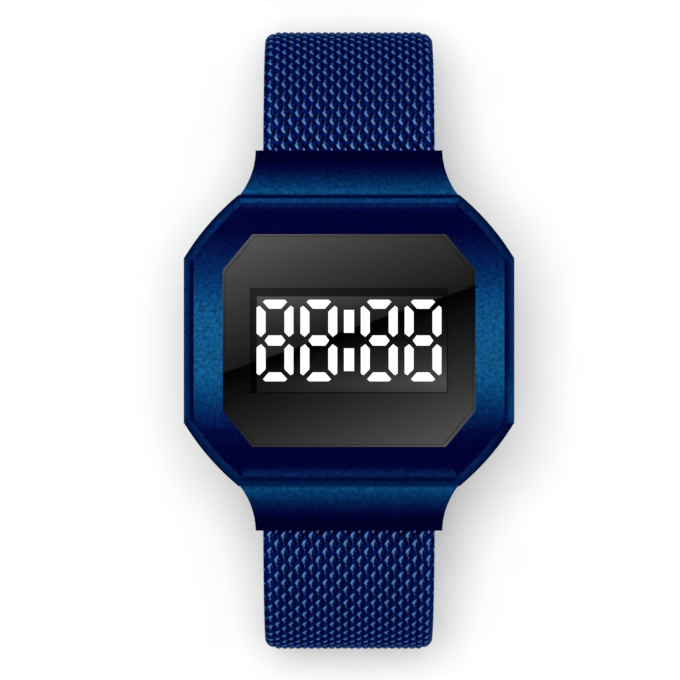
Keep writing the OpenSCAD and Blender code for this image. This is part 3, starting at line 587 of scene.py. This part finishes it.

# %% [markdown]
# ## Finish of the strap's wires
#
# The woven strap is made further on, from real wires, and its rows lie 1 mm apart. The
# highlights on the wires are painted as paler flecks, in the same places on each crest,
# with a small painted highlight as a tick between. So each point of the weave carries its
# place in the flat pattern, in millimetres, in an attribute named lay. From it come the
# distances from the nearest column and crest, and a fleck is a soft spot at such a distance.

# %% Place in the weave's pattern
PITCH = 1.61
ROW = 1.0
CREST = 0.3
wire = Finish("strap_wire", Metallic=1.0, Specular_Tint=EDGE_TINT)
lay = wire.node("ShaderNodeAttribute", {"attribute_name": "lay"}, {}, "Vector")
across, along = wire.node("ShaderNodeSeparateXYZ", {}, {0: lay}).socket.node.outputs[:2]
column = Value(wire, across) / (PITCH / 2)
odd = (column.floor() / 2).fraction() * 2
from_column = (column.fraction() - 0.5) * (PITCH / 2)
turn = (Value(wire, along) / ROW - odd) / 2 + CREST
from_crest = (turn.fraction() - CREST) * 2 * ROW
print("mm from column to column:", PITCH / 2, "and from row to row:", ROW)


def blob(centre_x, centre_y, half_length, half_width, slant):
    """Soft painted highlight spot on each crest: 1 in its middle and 0 outside, turned by slant degrees"""
    cos, sin = math.cos(math.radians(slant)), math.sin(math.radians(slant))
    x = from_column - centre_x
    y = from_crest - centre_y
    long = (x * cos + y * sin) / half_length
    wide = (y * cos - x * sin) / half_width
    return wire.rise(long * long + wide * wide, 1.8, 0.2)


# %% Wire finish
# Painted highlights: a paler leaf, lobe and dot on each crest where light catches the wire, broken up by the
# specks.
speck = wire.noise(0.12, 3.0, 0.7)
leaf = blob(0, 0, 0.4, 0.14, 126)
lobe = blob(0, 0.36, 0.28, 0.12, 90)
dot = blob(0.32, 0.32, 0.14, 0.09, 110)
tick = blob(0.02, 0.88, 0.22, 0.1, 96)
painted_glints = wire.rise(leaf.most(lobe * 0.8).most(dot * 0.5) + (speck - 0.5) * 1.6, 0.2, 1.1)
ground = wire.mix(speck, tone(1, 5, 62), tone(7, 28, 98))
ground_with_painted_glints = wire.mix(painted_glints, ground, tone(84, 130, 184))
# The tick is a painted highlight on the far side of each coil.
wire.use("Base Color", wire.mix(tick * (speck + 0.45), ground_with_painted_glints, tone(100, 124, 190)))
wire.use("Roughness", 0.34 + speck * 0.16)
wire.bump(speck, 0.01)
print("wire nodes:", len(wire.tree.nodes))

# %% [markdown]
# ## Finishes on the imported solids
#
# The solids keep their meshes, and only their material slots are filled. The record names
# a slot for each solid, so one table from slot to finish covers them all. The display's
# face alone has a finish that its slot doesn't name.

# %% Fill the slots
slot_finish = {
    "case_metal": case_coat, "bezel_metal": bezel_coat, "mesh_wire": wire,
    "clasp_metal": clasp_coat, "steel": steel, "glass": pane, "gasket": gasket,
    "display_black": display_black, "digit_white": digit_light, "board_green": board,
    "chip_black": chip, "contact_gold": contact, "holder_white": holder, "film_amber": film,
}
finish_of = {}
for piece in frame["record"]["subparts"]:
    finish_of[piece["node"]] = slot_finish[piece["material_slot"]]
finish_of["led_display"] = led_face
for name, solid in frame["nodes"].items():
    solid.data.materials.clear()
    solid.data.materials.append(finish_of[name].material)
print("solids dressed:", len(frame["nodes"]))

# %% [markdown]
# ## Selection and edit mode
#
# From here on pieces are shaped in edit mode, where an operator works on whatever is
# selected. Three short functions save repeating the same lines.

# %% Helpers for modelling
def select_only(part):
    """Make this the one selected object, and the active one"""
    bpy.ops.object.select_all(action="DESELECT")
    part.select_set(True)
    bpy.context.view_layer.objects.active = part


def edit_all():
    """Enter edit mode with the whole mesh selected"""
    bpy.ops.object.mode_set(mode="EDIT")
    bpy.ops.mesh.select_all(action="SELECT")


def leave_edit():
    """Go back to object mode"""
    bpy.ops.object.mode_set(mode="OBJECT")


# %% [markdown]
# ## Springs of the bars
#
# A coil spring lies between the two tips of each spring bar. A tip that is pushed in
# squeezes the half of the spring on its own side. So the solid's mesh is copied twice, and
# each copy keeps one half.

# %% Copy of a solid
def copy_solid(name, node):
    """A copy of a solid's mesh in an object of its own, which is then the active one"""
    part = bpy.data.objects.new(name, frame["nodes"][node].data.copy())
    bpy.context.collection.objects.link(part)
    select_only(part)
    return part


# %% Halves of the bar springs
MERGE = 0.001 * MM
for end in ("upper", "lower"):
    for word, way in (("left", -1), ("right", 1)):
        part = copy_solid(f"{end}_spring_{word}", f"{end}_bar_spring")
        edit_all()
        bpy.ops.mesh.remove_doubles(threshold=MERGE)
        bpy.ops.mesh.bisect(plane_co=(0, 0, 0), plane_no=(way, 0, 0), use_fill=True, clear_inner=True)
        leave_edit()
        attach(part, "head")
        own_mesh(part)
        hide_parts(f"{end}_bar_spring")

# %% [markdown]
# ## Pane of the watch
#
# The pane's lower face lies exactly on the gasket. Light that meets two faces in one
# place takes either, which leaves dark patches in the corners. So the pane that is seen
# is a copy of the solid, with its lower face a hair higher.

# %% Pane off the gasket
LIFT = 0.03
FACE_BAND = 0.1
pane_copy = copy_solid("pane", "glass")
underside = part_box("glass")[0].z + FACE_BAND * MM
bpy.ops.object.mode_set(mode="EDIT")
bpy.ops.mesh.select_mode(type="VERT")
bpy.ops.mesh.select_all(action="DESELECT")
leave_edit()
for vertex in pane_copy.data.vertices:
    vertex.select = vertex.co.z < underside
bpy.ops.object.mode_set(mode="EDIT")
bpy.ops.transform.translate(value=(0, 0, LIFT * MM))
leave_edit()
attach(pane_copy, "head")
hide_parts("glass")

# %% [markdown]
# ## Path of the strap
#
# The strap leaves the spring bar at a dip of 18 degrees, runs straight for 5 mm, bends
# round in seven stretches of growing radius and ends flat below the case. The joints of
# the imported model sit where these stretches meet, so the radii are worked out from them,
# and the wires will lie exactly where the solids are. The last radius carries on the
# growth of the two before it.

# %% Stretches of the strap
LEAD = 5.0
DIP = math.radians(18)
TURN = math.radians(27)
STRETCHES = 7
joint_at = {}
for joint in frame["joints"]:
    if "pos_m" in joint:
        joint_at[joint["name"]] = np.array(joint["pos_m"]) / MM
bar = joint_at["upper_strap_swing"][1:]
starts = [bar + LEAD * np.array([math.cos(DIP), -math.sin(DIP)])]
starts += [joint_at[f"upper_bend_{i}"][1:] for i in range(1, STRETCHES)]
turns = [TURN / 2] + [TURN] * (STRETCHES - 2) + [TURN / 2]
radii = [float(np.linalg.norm(starts[i + 1] - starts[i]) / (2 * math.sin(turns[i] / 2)))
         for i in range(STRETCHES - 1)]
radii.append(2 * radii[-1] - radii[-2])
lengths = [LEAD] + [r * t for r, t in zip(radii, turns)]
link_end = np.cumsum(lengths)
print("radii in mm:", [round(r, 2) for r in radii], "to the clasp:", round(link_end[-1], 2))

# %% Points along the strap
def strap_points(along):
    """Y, Z and dip of the strap, this many millimetres from the spring bar"""
    along = np.asarray(along, float)
    dip = np.full(along.shape, DIP)
    y = bar[0] + along * math.cos(DIP)
    z = bar[1] - along * math.sin(DIP)
    start_dip = DIP
    for i in range(STRETCHES):
        inside = along > link_end[i]
        turn = np.minimum((along - link_end[i]) / radii[i], turns[i])
        centre = starts[i] - radii[i] * np.array([math.sin(start_dip), math.cos(start_dip)])
        now = start_dip + turn
        dip = np.where(inside, now, dip)
        y = np.where(inside, centre[0] + radii[i] * np.sin(now), y)
        z = np.where(inside, centre[1] + radii[i] * np.cos(now), z)
        start_dip += turns[i]
    past = np.maximum(along - link_end[-1], 0)
    return y - past, z, dip


clasp_y, clasp_z, _ = strap_points(link_end[-1])
print("strap turns flat at y, z in mm:", round(float(clasp_y), 2), round(float(clasp_z), 2))

# %% [markdown]
# ## One row of the weave
#
# The strap is made of flat coils of wire that lie side by side across it, hooked into one
# another, with a thick cross wire inside each coil. On the face each turn of a coil
# shows as a short slanted stroke, and the far side of the coil shows as a small tick in
# the gap. A bump map would give the pattern but not the open, scaly edge, so the wires
# are real: a small ring is moved away from the axis and run round it by the Screw
# modifier, and the coil is then pressed flat.

# %% Coil of wire
COIL_R = 1.06
WIRE_R = 0.36
COIL_TURNS = 12
RING_CORNERS = 8
TURN_STEPS = 16


def name_piece(name):
    """Name the active object and its mesh, and return the object"""
    made = bpy.context.object
    made.name = name
    made.data.name = name
    return made


bpy.ops.object.select_all(action="DESELECT")
bpy.ops.mesh.primitive_circle_add(vertices=RING_CORNERS, radius=WIRE_R * MM)
coil = name_piece("coil")
edit_all()
bpy.ops.transform.translate(value=(-PITCH * COIL_TURNS / 2 * MM, COIL_R * MM, 0))
leave_edit()
bpy.ops.object.modifier_add(type="SCREW")
screw = coil.modifiers["Screw"]
screw.axis = "X"
screw.angle = 2 * math.pi * COIL_TURNS
screw.screw_offset = PITCH * COIL_TURNS * MM
screw.steps = TURN_STEPS * COIL_TURNS
screw.render_steps = screw.steps
bpy.ops.object.modifier_apply(modifier="Screw")
edit_all()
bpy.ops.mesh.fill_holes(sides=0)
bpy.ops.mesh.normals_make_consistent(inside=False)
leave_edit()
print("coil in mm:", [round(side / MM, 2) for side in coil.dimensions])

# %% Flattening
HALF_THICK = 1.0
edit_all()
flatten = HALF_THICK / (COIL_R + WIRE_R)
bpy.ops.transform.resize(value=(1, 1, flatten), center_override=(0, 0, 0))
leave_edit()
bpy.ops.object.shade_smooth()
print("flat coil in mm:", [round(side / MM, 2) for side in coil.dimensions])

# %% Second coil, half a turn on
bpy.ops.object.duplicate()
second = name_piece("second_coil")
edit_all()
bpy.ops.transform.resize(value=(1, -1, -1), center_override=(0, 0, 0))
bpy.ops.transform.translate(value=(0, ROW * MM, 0))
leave_edit()
print("second coil starts at:", [round(c / MM, 2) for c in second.data.vertices[0].co])

# %% [markdown]
# ## Wires across the row and along the edge
#
# The cross wires fill the coils, so that no dark pits show between the strokes. A short
# oval wire along each edge closes the turns of the coils there, and overlaps the next one
# a little. An extra ring of corners in its middle lets it bend with the strap. The two
# coils and their wires are joined to one pair of rows. Its corners, still flat, then note
# their place for the wire's finish.

# %% Cross wires
CROSS_R = 0.8
CROSS_LENGTH = 19.2
wires = []
for i in range(2):
    bpy.ops.object.select_all(action="DESELECT")
    bpy.ops.mesh.primitive_cylinder_add(vertices=8, radius=CROSS_R * MM, depth=CROSS_LENGTH * MM)
    wires.append(name_piece(f"cross_wire_{i}"))
    edit_all()
    bpy.ops.transform.rotate(value=math.pi / 2, orient_axis="Y", center_override=(0, 0, 0))
    bpy.ops.transform.translate(value=(0, i * ROW * MM, 0))
    leave_edit()
    bpy.ops.object.shade_smooth_by_angle(angle=math.radians(40))
print("cross wire in mm:", [round(side / MM, 2) for side in wires[0].dimensions])

# %% Edge wires
EDGE_R = 0.24
EDGE_LENGTH = 2.2 * ROW
EDGE_X = 9.79
for i in (-1, 1):
    bpy.ops.object.select_all(action="DESELECT")
    bpy.ops.mesh.primitive_cylinder_add(vertices=10, radius=EDGE_R * MM, depth=EDGE_LENGTH * MM)
    wires.append(name_piece(f"edge_wire_{i + 1}"))
    edit_all()
    bpy.ops.mesh.bisect(plane_co=(0, 0, 0), plane_no=(0, 0, 1))
    bpy.ops.mesh.select_all(action="SELECT")
    bpy.ops.transform.rotate(value=math.pi / 2, orient_axis="X", center_override=(0, 0, 0))
    bpy.ops.transform.resize(value=(0.8, 1, 1.5), center_override=(0, 0, 0))
    bpy.ops.transform.translate(value=(i * EDGE_X * MM, 0.5 * ROW * MM, 0))
    leave_edit()
    bpy.ops.object.shade_smooth_by_angle(angle=math.radians(50))
print("edge wire in mm:", [round(side / MM, 2) for side in wires[-1].dimensions])

# %% Pair of rows
def corner_array(mesh):
    """The mesh's corners, one row for each"""
    flat = np.empty(len(mesh.vertices) * 3)
    mesh.vertices.foreach_get("co", flat)
    return flat.reshape(-1, 3)


select_only(coil)
for part in [second] + wires:
    part.select_set(True)
bpy.ops.object.join()
pair = name_piece("pair_of_rows")
places = corner_array(pair.data) / MM
pair.data.attributes.new("lay", "FLOAT_VECTOR", "POINT")
pair.data.attributes["lay"].data.foreach_set("vector", places.astype(np.float32).ravel())
pair.data.materials.append(wire.material)
print("faces in a pair of rows:", len(pair.data.polygons))

# %% [markdown]
# ## Wrapping the rows round the strap
#
# A strap is a few dozen such pairs. An Array modifier repeats the pair for one stretch of
# the strap, and every corner is then set on the path: its place along the row stays, and
# the other two become a distance along the path and a height above it. A Curve modifier
# would do this too, but the bends are known exactly, so the sum is safer. Towards both
# edges of the strap the coils get flatter.

# %% Repeat and wrap
THIN_FROM = 8.5
THIN_TO = 10.0
THIN_SHARE = 0.5


def repeat_pair(name, count):
    """A copy of the pair of rows, repeated this many times along Y"""
    select_only(pair)
    bpy.ops.object.duplicate()
    piece = name_piece(name)
    bpy.ops.object.modifier_add(type="ARRAY")
    repeat = piece.modifiers["Array"]
    repeat.use_relative_offset = False
    repeat.use_constant_offset = True
    repeat.constant_offset_displace = (0, 2 * ROW * MM, 0)
    repeat.count = count
    bpy.ops.object.modifier_apply(modifier="Array")
    return piece


def wrap(piece, first_row, pitch, side):
    """Lay a flat piece on the strap's path, on the side of positive or negative Y"""
    places = corner_array(piece.data) / MM
    y, z, dip = strap_points(first_row + places[:, 1] * pitch / ROW)
    outward = np.clip((np.abs(places[:, 0]) - THIN_FROM) / (THIN_TO - THIN_FROM), 0, 1)
    height = places[:, 2] * (1 - THIN_SHARE * outward)
    y = y + height * np.sin(dip)
    z = z + height * np.cos(dip)
    wrapped = np.stack([places[:, 0], side * y, z], axis=1) * MM
    piece.data.vertices.foreach_set("co", wrapped.ravel())
    piece.data.update()


# %% [markdown]
# ## The two halves
#
# Each piece of the weave reaches from the middle of one rigid link to the middle of the
# next, over the joint between them. The rows start just inside the hood and end in the
# clasp. The lower half is the same, mirrored in Y, which turns its faces inside out until
# the normals are made again.

# %% Weave one half of the strap
OVERRUN = 0.12
END = COIL_R + WIRE_R - OVERRUN
MESH_FROM = 2.2
PIECES = STRETCHES - 1


def weave(half, side, whole):
    """The six pieces of one half; whole is its length in millimetres from the bar"""
    pairs = round((whole - MESH_FROM - 2 * END + ROW) / (2 * ROW))
    pitch = (whole - MESH_FROM - 2 * END) / (2 * pairs - 1)
    middles = [(link_end[i] + link_end[i + 1]) / 2 for i in range(STRETCHES)]
    cuts = [round((m - MESH_FROM - END) / (2 * pitch)) for m in middles]
    cuts[0] = max(cuts[0], 1)
    bounds = [0] + cuts[1:PIECES] + [pairs]
    for k in range(PIECES):
        count = bounds[k + 1] - bounds[k]
        piece = repeat_pair(f"{half}_weave_{k + 1}", count)
        wrap(piece, MESH_FROM + END + 2 * bounds[k] * pitch, pitch, side)
        if side < 0:
            edit_all()
            bpy.ops.mesh.normals_make_consistent(inside=False)
            leave_edit()
        for cut in (cuts[k], cuts[k + 1]):
            y, z, _ = strap_points(MESH_FROM + END + 2 * cut * pitch)
        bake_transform(piece)
        if k < PIECES - 1:
            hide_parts(f"{half}_mesh_{k}")
        else:
            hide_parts(f"{half}_mesh_5", f"{half}_mesh_6")
        print(piece.name, "rows:", 2 * count, "faces:", len(piece.data.polygons))


# %% Both halves of the strap
upper_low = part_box("upper_mesh_6")[0]
lower_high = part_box("lower_mesh_6")[1]
flat_from = link_end[-1] + float(clasp_y)
weave("upper", 1, flat_from - upper_low.y / MM)
weave("lower", -1, flat_from + lower_high.y / MM)
bpy.data.objects.remove(pair)
